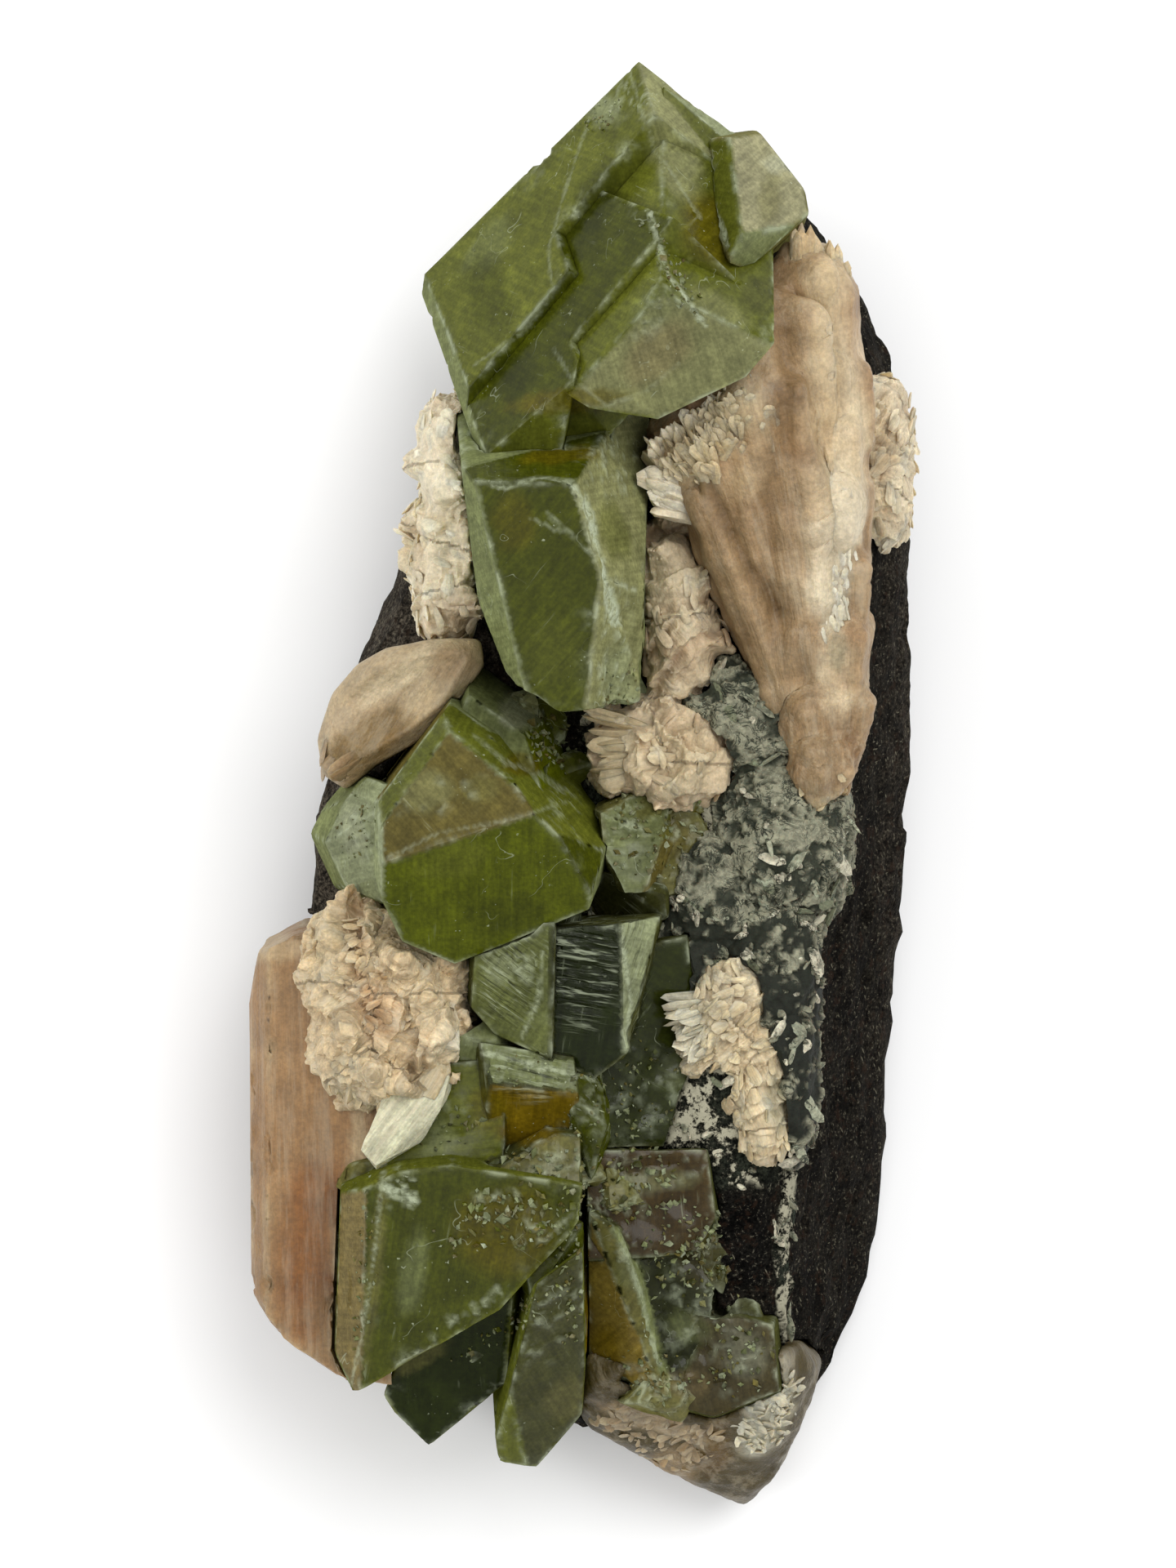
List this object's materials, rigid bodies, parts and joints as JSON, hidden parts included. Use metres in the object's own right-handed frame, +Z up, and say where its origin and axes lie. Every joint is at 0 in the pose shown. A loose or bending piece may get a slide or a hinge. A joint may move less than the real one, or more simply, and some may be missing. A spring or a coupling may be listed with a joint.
{
  "type": "apophyllite cluster",
  "caption": "Green apophyllite crystals with peach stilbite sprays on dark basalt matrix, a hand-sized natural mineral specimen lying on its flat broken back",
  "frame": {"origin": "middle of the underside of the specimen, at the height of the surface it rests on", "axes": "+Z up, away from the rock's flat back; +Y along the specimen's length towards the tall crown of crystals; +X towards the side where bare basalt shows"},
  "size_m": [0.0518, 0.1118, 0.0434],
  "materials": {
    "green_apophyllite": "glassy, slightly hazy, translucent",
    "pale_apophyllite": "pearly, translucent",
    "amber_apophyllite": "glassy, translucent",
    "peach_stilbite": "silky, striated",
    "cream_stilbite": "silky",
    "salmon_stilbite": "silky, striated lengthwise",
    "zeolite_crust": "dull, sugary",
    "basalt": "rough, grainy with pale laths"
  },
  "bodies": {
    "root": {"apophyllite_crown": "green_apophyllite", "apophyllite_crown_side": "pale_apophyllite", "apophyllite_middle": "green_apophyllite", "apophyllite_roof": "green_apophyllite", "apophyllite_shoulder": "pale_apophyllite", "apophyllite_etched": "green_apophyllite", "apophyllite_foot": "green_apophyllite", "apophyllite_amber": "amber_apophyllite", "stilbite_slab": "salmon_stilbite", "basalt_matrix": "basalt", "stilbite_petal": "peach_stilbite", "stilbite_bow_tie": "peach_stilbite", "stilbite_rosette_mid": "peach_stilbite", "stilbite_rosette_left": "cream_stilbite", "stilbite_spray_right": "cream_stilbite", "stilbite_upper_left": "peach_stilbite", "stilbite_upper_right": "cream_stilbite", "stilbite_toe": "peach_stilbite", "zeolite_crust": "zeolite_crust"}
  },
  "joints": []
}
